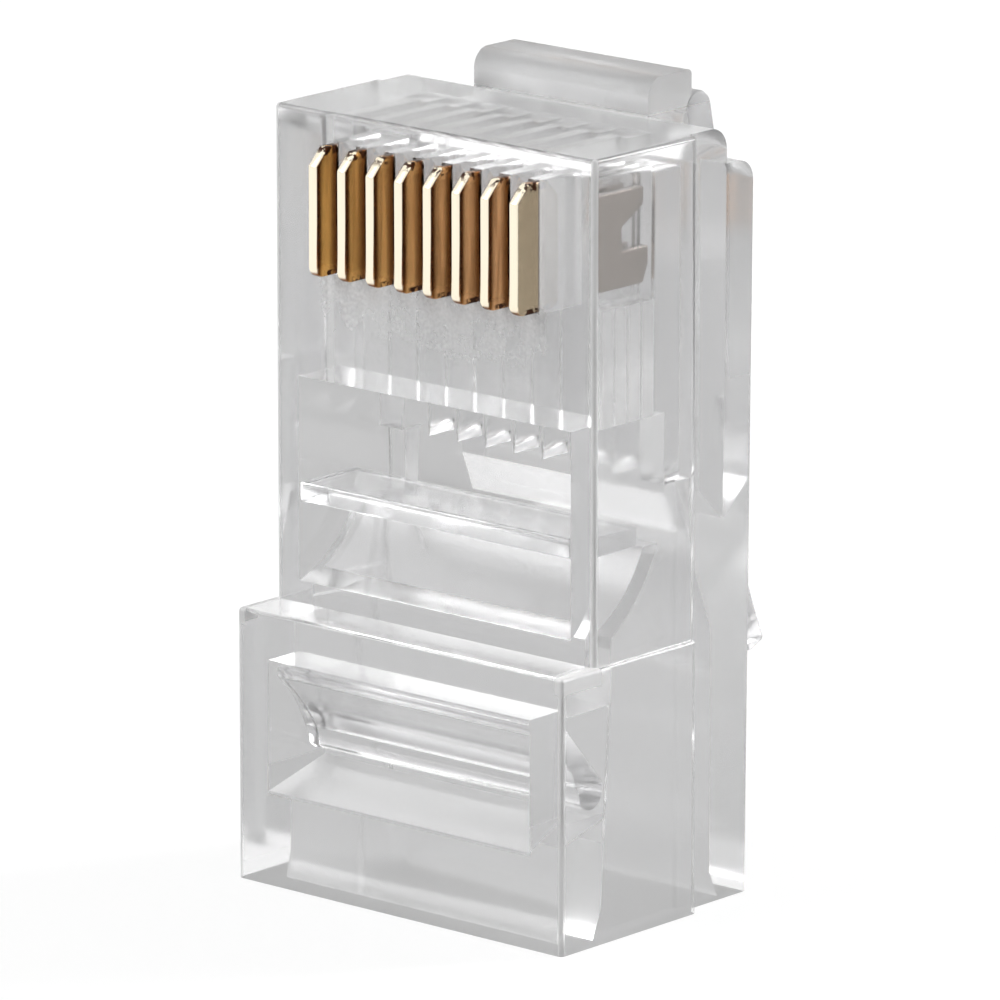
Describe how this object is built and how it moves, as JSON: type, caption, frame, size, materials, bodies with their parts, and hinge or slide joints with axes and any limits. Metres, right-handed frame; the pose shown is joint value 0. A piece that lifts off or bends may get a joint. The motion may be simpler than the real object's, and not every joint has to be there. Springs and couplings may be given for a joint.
{
  "type": "modular plug",
  "caption": "Eight-position modular plug with clear housing, sprung latch lever, two strain relief clamps and gold contact blades standing proud, ready to crimp.",
  "frame": {"origin": "middle of the cable entry, in the plane of the rear end that the plug stands on", "axes": "+Z along the plug from the cable entry to the nose, +X across its width, -Y out of the contact side, +Y towards the latch"},
  "size_m": [0.0116, 0.0135, 0.0225],
  "materials": {
    "clear_housing": "clear polycarbonate, polished, slightly milky",
    "clear_latch": "clear polycarbonate, polished",
    "clear_clamp": "clear polycarbonate, polished",
    "gold_contact": "gold-plated phosphor bronze, bright"
  },
  "bodies": {
    "housing": {"housing": "clear_housing"},
    "latch": {"latch_lever": "clear_latch"},
    "wire_clamp": {"wire_clamp_bar": "clear_clamp"},
    "jacket_clamp": {"jacket_clamp_flap": "clear_clamp"},
    "contact_1": {"contact_1": "gold_contact"},
    "contact_2": {"contact_2": "gold_contact"},
    "contact_3": {"contact_3": "gold_contact"},
    "contact_4": {"contact_4": "gold_contact"},
    "contact_5": {"contact_5": "gold_contact"},
    "contact_6": {"contact_6": "gold_contact"},
    "contact_7": {"contact_7": "gold_contact"},
    "contact_8": {"contact_8": "gold_contact"}
  },
  "joints": [
    {"name": "latch_flex", "type": "hinge", "parent": "housing", "child": "latch", "pos_m": [0, 0.00432, 0.02131], "axis": [1, 0, 0], "range_deg": [-12, 0], "stiffness_Nm_per_rad": 0.12},
    {"name": "jacket_clamp_fold", "type": "hinge", "parent": "housing", "child": "jacket_clamp", "pos_m": [0, -0.00398, 0.006], "axis": [1, 0, 0], "range_deg": [0, 25]},
    {"name": "wire_clamp_press", "type": "slide", "parent": "housing", "child": "wire_clamp", "axis": [0, 1, 0], "range_m": [0, 0.0009]},
    {"name": "contact_1_crimp", "type": "slide", "parent": "housing", "child": "contact_1", "axis": [0, 1, 0], "range_m": [0, 0.00095]},
    {"name": "contact_2_crimp", "type": "slide", "parent": "housing", "child": "contact_2", "axis": [0, 1, 0], "range_m": [0, 0.00095]},
    {"name": "contact_3_crimp", "type": "slide", "parent": "housing", "child": "contact_3", "axis": [0, 1, 0], "range_m": [0, 0.00095]},
    {"name": "contact_4_crimp", "type": "slide", "parent": "housing", "child": "contact_4", "axis": [0, 1, 0], "range_m": [0, 0.00095]},
    {"name": "contact_5_crimp", "type": "slide", "parent": "housing", "child": "contact_5", "axis": [0, 1, 0], "range_m": [0, 0.00095]},
    {"name": "contact_6_crimp", "type": "slide", "parent": "housing", "child": "contact_6", "axis": [0, 1, 0], "range_m": [0, 0.00095]},
    {"name": "contact_7_crimp", "type": "slide", "parent": "housing", "child": "contact_7", "axis": [0, 1, 0], "range_m": [0, 0.00095]},
    {"name": "contact_8_crimp", "type": "slide", "parent": "housing", "child": "contact_8", "axis": [0, 1, 0], "range_m": [0, 0.00095]}
  ]
}
